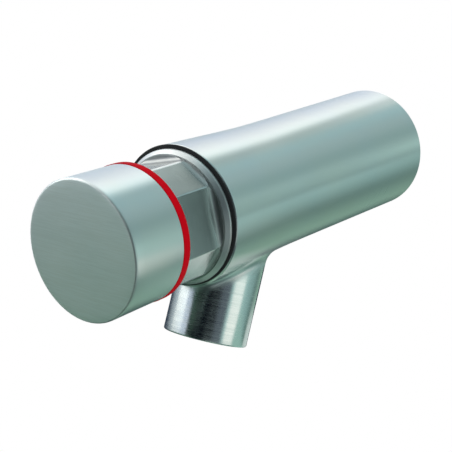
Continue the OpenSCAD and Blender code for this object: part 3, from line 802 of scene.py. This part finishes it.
def clouds_group():
    """Slow patches: a noise whose low parts are 0 and whose high parts are 1."""
    tree, given, result = new_group("clouds", ["Scale"], "Clouds")
    patches = noise(tree, given["Vector"], given["Scale"], 3.0, 0.55)
    set_inputs(tree, result, {"Clouds": fade_between(tree, patches, 0.3, 0.7)})
    return tree


GRAIN, CLOUDS = grain_group(), clouds_group()


def place_group(tree, group, values):
    node = add_node(tree, "ShaderNodeGroup", node_tree=group)
    return set_inputs(tree, node, values).outputs[0]


print("groups:", GRAIN.name, CLOUDS.name)

# %% [markdown]
# ## Satin steel
#
# The body is brushed while it turns, so its lines run round it, and round the
# spout they run round the spout. A brushed metal spreads its highlights square
# to the lines. That is what the Anisotropic setting does, and the Tangent input
# tells it the direction: along the body's axis on the body, along the spout's
# axis on the spout, with a soft change in the hollow between them. The spout is
# polished more than the body, so its lights have harder edges, and the streaks
# that the polish left change its roughness from ring to ring. The hollow is
# ground by hand and stays dull. The button is brushed straight across its face,
# which shows as fine lighter streaks, and its rim is a little worn.


# %% Start a material
ACROSS, ALONG = 5200.0, 60.0
BUMP_DEPTH = 0.05


def new_material(name, base, metallic, roughness):
    material = bpy.data.materials.new(name)
    material.use_nodes = True
    tree = material.node_tree
    shader = tree.nodes["Principled BSDF"]
    shader.inputs["Base Color"].default_value = (*base, 1)
    shader.inputs["Metallic"].default_value = metallic
    shader.inputs["Roughness"].default_value = roughness
    place = add_node(tree, "ShaderNodeTexCoord").outputs["Object"]
    return material, tree, shader, place


def bump(tree, shader, height, strength):
    node = add_node(tree, "ShaderNodeBump")
    set_inputs(tree, node, {"Height": height, "Strength": strength, "Distance": BUMP_DEPTH * MM})
    set_inputs(tree, shader, {"Normal": node.outputs[0]})


def from_axis(tree, place):
    """The distance from the tap's axis."""
    return vectors(tree, "LENGTH", vectors(tree, "MULTIPLY", place, (1, 0, 1)))


def turned_place(tree, place):
    """Adds the distance from the axis to y, so that lines across y are rings on end faces."""
    return vectors(tree, "ADD", place, join(tree, y=from_axis(tree, place)))


def brush(tree, place, order, across=ACROSS, along=ALONG):
    """Brush lines square to the first axis in order, along the other two."""
    parts = split(tree, place)
    swapped = join(tree, *[parts[axis] for axis in order])
    return place_group(tree, GRAIN, {"Vector": swapped, "Across": across, "Along": along})


def cloudy(tree, place, scale):
    return place_group(tree, CLOUDS, {"Vector": place, "Scale": scale})


# %% Satin steel for the body and spout
STEEL = (0.62, 0.67, 0.66)
STEEL_WARM = (0.64, 0.68, 0.65)
STEEL_LIGHT = (0.67, 0.72, 0.705)
BODY_ROUGH = 0.25
SPOUT_SMOOTH, SPOUT_ROUGH = 0.21, 0.31
GROUND_ROUGH = 0.6


def body_steel():
    material, tree, shader, place = new_material("brushed_steel_body", STEEL, 1.0, 0.3)
    on_spout = fade_between(tree, from_axis(tree, place), (BODY_R + 0.6) * MM, (BODY_R + 4.5) * MM)
    turn = add_node(tree, "ShaderNodeVectorRotate", rotation_type="X_AXIS")
    upright = set_inputs(tree, turn, {"Vector": place, "Angle": SPOUT_RAKE}).outputs[0]
    lines = blend(tree, on_spout, brush(tree, turned_place(tree, place), "YXZ"),
                  brush(tree, upright, "ZXY"))
    clouds = cloudy(tree, place, 38.0)
    body_rough = weighed(tree, [(lines, 0.06), (clouds, 0.02)], BODY_ROUGH)
    streaks = brush(tree, upright, "ZXY", 2600.0, 40.0)
    spout_rough = fade_between(tree, streaks, 0.36, 0.68, SPOUT_SMOOTH, SPOUT_ROUGH)
    rough = blend(tree, on_spout, body_rough, spout_rough)
    ground = maths(tree, "MULTIPLY", on_spout, maths(tree, "SUBTRACT", 1.0, on_spout))
    bump(tree, shader, lines, 0.02)
    set_inputs(tree, shader, {
        "Base Color": blend_colours(tree, clouds, STEEL, STEEL_WARM),
        "Roughness": maths(tree, "ADD", rough, maths(tree, "MULTIPLY", ground, GROUND_ROUGH)),
        "Tangent": blend(tree, on_spout, tuple(AXIS), tuple(SPOUT_DIR), "VECTOR"),
        "Anisotropic": 0.75,
    })
    return material


# %% Satin steel for the button, brushed straight across its face
FACE_ROUGH = 0.31
WORN_ROUGH = 0.12


def button_steel():
    material, tree, shader, place = new_material("brushed_steel_button", STEEL, 1.0, 0.3)
    height = split(tree, place)["Y"]
    on_face = fade_between(tree, height, -(FACE_AT - 0.5) * MM, -(FACE_AT - 0.15) * MM)
    straight = brush(tree, place, "ZXY", 4600.0, 160.0)
    lines = blend(tree, on_face, brush(tree, place, "YXZ"), straight)
    clouds = cloudy(tree, place, 45.0)
    colour = blend_colours(tree, clouds, STEEL, STEEL_WARM)
    streaks = maths(tree, "MULTIPLY", fade_between(tree, lines, 0.4, 0.6), on_face)
    near_rim = fade_between(tree, from_axis(tree, place),
                            (BUTTON_R - 0.9) * MM, (BUTTON_R - 0.5) * MM)
    near_face = fade_between(tree, height, -(FACE_AT - 1.1) * MM, -(FACE_AT - 0.6) * MM)
    worn = maths(tree, "MULTIPLY", near_rim, near_face)
    bump(tree, shader, lines, 0.05)
    set_inputs(tree, shader, {
        "Base Color": blend_colours(tree, streaks, colour, STEEL_LIGHT),
        "Roughness": weighed(tree, [(lines, 0.08), (clouds, 0.02), (worn, WORN_ROUGH)], FACE_ROUGH),
        "Tangent": blend(tree, on_face, tuple(AXIS), (0, 0, 1), "VECTOR"),
        "Anisotropic": 0.72,
    })
    return material


# %% [markdown]
# ## The head, the seals, the plastics and the brass
#
# The head is milled and then plated, so it is smoother than the body and has
# faint mill lines round it. The cutter leaves the hollow at the foot of each
# flat rougher, and its colour is darkened there as painted shade. The ring is
# moulded in deep red plastic with hardly any gloss. Rubber is nearly black and
# dull. Inside, turned brass and steel show coarser lines than a brush leaves.


# %% Metals with lines round the tap's axis
HOLLOW_ROUGH = 0.26


def shade(base, share):
    return tuple(share * part for part in base)


def turned_metal(name, base, roughness, across, spread, depth, foot=0.0):
    """Turned or milled metal: foot is how dark the painted shade makes the hollow where the head's
    flats end.
    """
    material, tree, shader, place = new_material(name, base, 1.0, roughness)
    lines = brush(tree, place if foot else turned_place(tree, place), "YXZ", across, 80.0)
    colour = blend_colours(tree, cloudy(tree, place, 120.0), base, shade(base, 0.9))
    rough = [(lines, spread)]
    # Painted shade: the base colour is darkened in the hollow at the foot of the flats, where shade
    # falls.
    if foot:
        height = split(tree, place)["Y"]
        below = fade_between(tree, height, -(FLATS_FOOT + 2.2) * MM, -(FLATS_FOOT + 1.4) * MM)
        above = fade_between(tree, height, -(FLATS_AT + 0.25) * MM, -(FLATS_AT + 0.05) * MM,
                             1.0, 0.0)
        painted_foot_shade = maths(tree, "MULTIPLY", below, above)
        colour = blend_colours(tree, painted_foot_shade, colour, shade(base, foot))
        rough.append((below, HOLLOW_ROUGH))
    bump(tree, shader, lines, depth)
    set_inputs(tree, shader, {"Base Color": colour,
                              "Roughness": weighed(tree, rough, roughness - spread / 2)})
    return material


# %% Plastics and rubber
MOULD_SPREAD = 0.12


def moulded(name, base, roughness, grain_size, grain_depth, gloss=0.5):
    material, tree, shader, place = new_material(name, base, 0.0, roughness)
    grain = noise(tree, place, grain_size, 3.0)
    bump(tree, shader, grain, grain_depth)
    set_inputs(tree, shader, {
        "Base Color": blend_colours(tree, cloudy(tree, place, 70.0), base, shade(base, 0.86)),
        "Roughness": weighed(tree, [(grain, MOULD_SPREAD)], roughness - MOULD_SPREAD / 2),
        "Specular IOR Level": gloss,
    })
    return material


# %% Give every piece its finish
FINISHES = {
    "brushed_steel": body_steel(),
    "button_steel": button_steel(),
    # foot=0.6 darkens the head's colour at the flats' foot as painted shade.
    "head_metal": turned_metal("satin_head", (0.6, 0.62, 0.61), 0.2, 4200.0, 0.06, 0.03, foot=0.6),
    "machined_brass": turned_metal("turned_brass", (0.72, 0.58, 0.33), 0.27, 3200.0, 0.12, 0.1),
    "inner_steel": turned_metal("turned_steel", (0.66, 0.67, 0.68), 0.24, 3600.0, 0.1, 0.08),
    "red_plastic": moulded("red_ring_plastic", (0.42, 0.001, 0.007), 0.4, 2600.0, 0.03,
                           gloss=0.01),
    "white_plastic": moulded("white_acetal", (0.82, 0.8, 0.74), 0.42, 1800.0, 0.05),
    "grey_plastic": moulded("grey_nylon", (0.3, 0.32, 0.34), 0.5, 1500.0, 0.08),
    "black_rubber": moulded("black_seal_rubber", (0.013, 0.015, 0.016), 0.5, 2200.0, 0.12,
                            gloss=0.15),
}


def give_finish(piece, finish):
    """Puts one material in every slot, and adds a slot where there is none."""
    if not piece.material_slots:
        piece.data.materials.append(finish)
    for slot in piece.material_slots:
        slot.link = "OBJECT"
        slot.material = finish


for piece in [body_shell, head_shell, head_seal, button_cap, red_ring, tail, gasket_ring]:
    give_finish(piece, FINISHES[piece["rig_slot"]])
for part in frame["record"]["subparts"]:
    give_finish(frame["nodes"][part["node"]], FINISHES[part["material_slot"]])

# %% [markdown]
# ## The studio
#
# A satin tube is a picture of the room round it, so the room matters as much as
# the metal. The tap hangs in a closed light tent. Its wall is painted in long
# bands that lie along the tap, as strip lights and paper would: white above and
# at the upper left, grey-green on the right and below, dark at the lower left.
# Cards are painted over the bands for what faces another way: the flats, the
# flange, the spout and the button's face each mirror their own patch of the
# wall. The camera looks through the tent at a plain white floor. Matt pieces
# don't see the tent at all, because its bands would stain them. An even white
# world and two weak lamps light them. From straight in front the button's face
# mirrors the dark card of the spout, so a third lamp there lights the button
# alone.


# %% The camera
CAMERA_TURN = math.radians(37.79)
CAMERA_LIFT = math.radians(16.50)
CAMERA_ROLL = math.radians(-0.59)
CAMERA_AIM = Vector((0, -60, 0))
CAMERA_MOVE = (-28.56, -15.30, 373.0)
CAMERA_LENS = 74.51
CAMERA_SHIFT = (0.0082, -0.0283)


def place_camera():
    back = Vector((math.sin(CAMERA_TURN) * math.cos(CAMERA_LIFT),
                   -math.cos(CAMERA_TURN) * math.cos(CAMERA_LIFT), math.sin(CAMERA_LIFT)))
    right = Vector((math.cos(CAMERA_TURN), math.sin(CAMERA_TURN), 0))
    up = back.cross(right)
    level = math.cos(CAMERA_ROLL) * right + math.sin(CAMERA_ROLL) * up
    upright = math.cos(CAMERA_ROLL) * up - math.sin(CAMERA_ROLL) * right
    side, lift, away = CAMERA_MOVE
    spot = (CAMERA_AIM + side * level + lift * upright + away * back) * MM
    axes = Matrix((level, upright, back)).transposed().to_4x4()
    data = bpy.data.cameras.new("camera")
    data.lens = CAMERA_LENS
    data.sensor_width = 36.0
    data.shift_x, data.shift_y = CAMERA_SHIFT
    data.clip_start = 0.01
    data.clip_end = 200.0
    camera = bpy.data.objects.new("camera", data)
    camera.matrix_world = Matrix.Translation(spot) @ axes
    bpy.context.scene.collection.objects.link(camera)
    bpy.context.scene.camera = camera
    print("camera at", [round(c, 4) for c in spot])


place_camera()

# %% The tent's wall
TENT_R = 1.0
TENT_AT = (0, -0.09, 0)
BANDS = [
    (-180, (0.62, 0.70, 0.77)), (-166, (0.04, 0.06, 0.09)), (-106, (0.01, 0.02, 0.04)),
    (-99, (0.48, 0.74, 0.60)), (-84, (0.28, 0.45, 0.35)), (-66, (0.24, 0.38, 0.33)),
    (-48, (0.13, 0.22, 0.20)), (-28, (0.33, 0.52, 0.50)), (-14, (0.44, 0.65, 0.64)),
    (0, (0.84, 1.20, 1.15)), (14, (0.41, 0.58, 0.57)), (28, (0.34, 0.50, 0.50)),
    (56, (0.45, 0.60, 0.62)), (88, (0.40, 0.68, 0.74)), (95, (1.45, 1.68, 1.68)),
    (112, (1.50, 1.50, 1.52)), (134, (1.00, 1.04, 1.15)), (160, (0.67, 0.77, 0.98)),
    (180, (0.62, 0.70, 0.77)),
]
TAP_LINE = tuple(AXIS)
SPOUT_LINE = tuple(SPOUT_DIR)
CARDS = [
    ("flag behind right", (0.67, 0.74, -0.01), TAP_LINE, 7, 8, 3, (0.012, 0.02, 0.02)),
    ("paper behind top", (0.01, 0.75, 0.65), TAP_LINE, 7, 10, 3, (0.30, 0.36, 0.34)),
    ("paper behind left", (-0.65, 0.75, 0.01), TAP_LINE, 9, 12, 4, (0.40, 0.48, 0.48)),
    ("spout dusk", (0.571, -0.818, 0.06), SPOUT_LINE, 42, 44, 7, (0.10, 0.12, 0.15)),
    ("spout flag", (0.085, -0.989, 0.12), SPOUT_LINE, 25, 40, 2, (0.004, 0.006, 0.010)),
    ("spout dark side", (0.40, -0.91, 0.04), SPOUT_LINE, 28, 40, 8, (0.004, 0.006, 0.010)),
    ("flange paper", (0.645, -0.688, -0.331), SPOUT_LINE, 20, 12, 3, (0.44, 0.52, 0.52)),
    ("spout left strip", (-0.815, -0.40, 0.525), SPOUT_LINE, 17, 20, 3, (3.4, 3.4, 3.3)),
    ("flag in front below", (0.10, -0.80, -0.59), TAP_LINE, 26, 24, 5, (0.01, 0.015, 0.02)),
    ("left front paper", (-0.55, -0.62, -0.54), SPOUT_LINE, 36, 20, 6, (0.12, 0.24, 0.17)),
]


def card_mask(tree, towards, aim, line, wide, high, soft):
    """1 inside a card that hangs in direction aim with its height along a line, in degrees."""
    up = (line - line.dot(aim) * aim).normalized()
    mask = fade_between(tree, vectors(tree, "DOT_PRODUCT", towards, tuple(aim)), 0.0, 0.1)
    for axis, half in ((up.cross(aim), wide), (up, high)):
        off = maths(tree, "ABSOLUTE", vectors(tree, "DOT_PRODUCT", towards, tuple(axis)))
        low, top = math.sin(math.radians(half - soft)), math.sin(math.radians(half + soft))
        mask = maths(tree, "MULTIPLY", mask, fade_between(tree, off, low, top, 1.0, 0.0))
    return mask


def bare_material(name):
    """A material that still lacks its shader, and the place in its object."""
    material = bpy.data.materials.new(name)
    material.use_nodes = True
    tree = material.node_tree
    tree.nodes.clear()
    return material, tree, add_node(tree, "ShaderNodeTexCoord").outputs["Object"]


def glow(tree, colour):
    return set_inputs(tree, add_node(tree, "ShaderNodeEmission"), {"Color": colour}).outputs[0]


def put_out(tree, surface):
    set_inputs(tree, add_node(tree, "ShaderNodeOutputMaterial"), {"Surface": surface})


def tent_material():
    material, tree, place = bare_material("tent_wall")
    towards = vectors(tree, "NORMALIZE", place)
    parts = split(tree, towards)
    angle = maths(tree, "ARCTAN2", parts["Z"], parts["X"])
    share = maths(tree, "ADD", maths(tree, "DIVIDE", angle, 2 * math.pi), 0.5)
    ramp = add_node(tree, "ShaderNodeValToRGB")
    ramp.color_ramp.interpolation = "EASE"
    stops = ramp.color_ramp.elements
    while len(stops) < len(BANDS):
        stops.new(0.5)
    for stop, (degrees, _) in zip(stops, BANDS):
        stop.position = (degrees + 180) / 360
    for stop, (_, paint) in zip(stops, BANDS):
        stop.color = (*paint, 1)
    tree.links.new(share, ramp.inputs[0])
    colour = ramp.outputs[0]
    for _, aim, line, wide, high, soft, paint in CARDS:
        mask = card_mask(tree, towards, Vector(aim).normalized(), Vector(line), wide, high, soft)
        colour = blend_colours(tree, mask, colour, paint)
    put_out(tree, glow(tree, colour))
    return material


def build_tent():
    bm = bmesh.new()
    bmesh.ops.create_uvsphere(bm, u_segments=64, v_segments=32, radius=TENT_R)
    tent = new_object(bm, "tent")
    tent.location = TENT_AT
    tent.data.materials.append(tent_material())
    tent.visible_camera = tent.visible_transmission = tent.visible_diffuse = False


build_tent()

# %% [markdown]
# The tent is far away, so a card on it shows in every piece that faces its way.
# Where one piece alone should catch a light, a small sheet of paper hangs close
# to it. One gives the spout its white line on the right, one lights the lowest
# flat that is seen, and one keeps the underside of the button from going dark.

# %% Papers close to the tap
PAPERS = [
    ("spout_paper", (165, -101, -66), (0, -121.4, -57.3), SPOUT_LINE, 52, 44, 0.3,
     (1.34, 1.34, 1.27)),
    ("flat_paper", (16, -69, -75), (17, -143, -11), TAP_LINE, 19, 17, 0.3, (0.70, 0.79, 0.76)),
    ("button_paper", (34, -97, -73), (10, -165, -21), TAP_LINE, 48, 15, 0.4, (0.40, 0.62, 0.55)),
]


def mix_shaders(tree, share, a, b):
    node = add_node(tree, "ShaderNodeMixShader")
    return set_inputs(tree, node, {0: share, 1: a, 2: b}).outputs[0]


def paper_material(name, half_wide, half_high, soft, colour):
    """Glowing paper that fades out over a share of its width and height."""
    material, tree, place = bare_material(name)
    parts = split(tree, place)
    lit = 1.0
    for axis, half in (("X", half_wide * MM), ("Y", half_high * MM)):
        off = maths(tree, "ABSOLUTE", parts[axis])
        edge = fade_between(tree, off, (1 - soft) * half, half, 1.0, 0.0)
        lit = maths(tree, "MULTIPLY", lit, edge)
    clear = add_node(tree, "ShaderNodeBsdfTransparent").outputs[0]
    put_out(tree, mix_shaders(tree, lit, clear, glow(tree, (*colour, 1))))
    return material


def build_paper(name, spot, aim, line, half_wide, half_high, soft, colour):
    """A sheet that hangs at spot, faces aim and has its height along a line."""
    bm = bmesh.new()
    bmesh.ops.create_grid(bm, x_segments=1, y_segments=1, size=MM)
    bmesh.ops.scale(bm, vec=(half_wide, half_high, 1), verts=bm.verts)
    paper = new_object(bm, name)
    facing = (Vector(aim) - Vector(spot)).normalized()
    upright = (Vector(line) - Vector(line).dot(facing) * facing).normalized()
    turn = Matrix((upright.cross(facing), upright, facing)).transposed().to_4x4()
    paper.matrix_world = Matrix.Translation(Vector(spot) * MM) @ turn
    paper.data.materials.append(paper_material(name, half_wide, half_high, soft, colour))
    paper.visible_camera = paper.visible_diffuse = paper.visible_shadow = False


for paper in PAPERS:
    build_paper(*paper)

# %% The floor, the world and the lamps
FLOOR_AT = -1.15
FLOOR_HALF = 60


def white_for_camera(tree, plain):
    """Mixes a white glow over a shader, where the background is seen straight or mirrored."""
    path = add_node(tree, "ShaderNodeLightPath").outputs
    seen = maths(tree, "MAXIMUM", path["Is Camera Ray"], path["Is Glossy Ray"])
    seen = maths(tree, "MAXIMUM", seen, path["Is Transmission Ray"])
    return mix_shaders(tree, seen, plain, glow(tree, (1, 1, 1, 1)))


def build_floor():
    bm = bmesh.new()
    bmesh.ops.create_grid(bm, x_segments=1, y_segments=1, size=FLOOR_HALF)
    bmesh.ops.translate(bm, vec=(0, 0, FLOOR_AT), verts=bm.verts)
    floor = new_object(bm, "floor")
    material, tree, shader, _ = new_material("white_floor", (0.9, 0.9, 0.9), 0.0, 0.9)
    white = white_for_camera(tree, shader.outputs[0])
    set_inputs(tree, tree.nodes["Material Output"], {"Surface": white})
    floor.data.materials.append(material)


def build_world():
    world = bpy.data.worlds.new("studio")
    world.use_nodes = True
    background = world.node_tree.nodes["Background"]
    background.inputs["Color"].default_value = (1, 1, 1, 1)
    background.inputs["Strength"].default_value = 1.0
    bpy.context.scene.world = world


def build_lamp(name, spot, aim, size, watts):
    """A round lamp at spot that points at aim and isn't mirrored."""
    data = bpy.data.lights.new(name, "AREA")
    data.shape = "DISK"
    data.size = size
    data.energy = watts
    lamp = bpy.data.objects.new(name, data)
    lamp.location = spot
    lamp.rotation_euler = (Vector(spot) - Vector(aim)).to_track_quat("Z", "Y").to_euler()
    lamp.visible_glossy = False
    bpy.context.scene.collection.objects.link(lamp)
    return lamp


def light_only(lamp, piece):
    """Lets the lamp light one piece alone, which also mirrors it."""
    lit = bpy.data.collections.new(lamp.name + "_lights")
    lit.objects.link(piece)
    lamp.light_linking.receiver_collection = lit
    lamp.visible_glossy = True


build_floor()
build_world()
build_lamp("lamp_right", (0.55, -0.5, 0.4), (0, -0.14, 0), 0.5, 1.2)
build_lamp("lamp_left", (-0.6, -0.3, 0.5), (0, -0.1, 0), 0.6, 0.8)
lamp_front = build_lamp("lamp_front", (0, -0.9, 0), (0, -0.17, 0), 0.5, 0.22)
light_only(lamp_front, button_cap)
bpy.context.scene.view_settings.view_transform = "Standard"
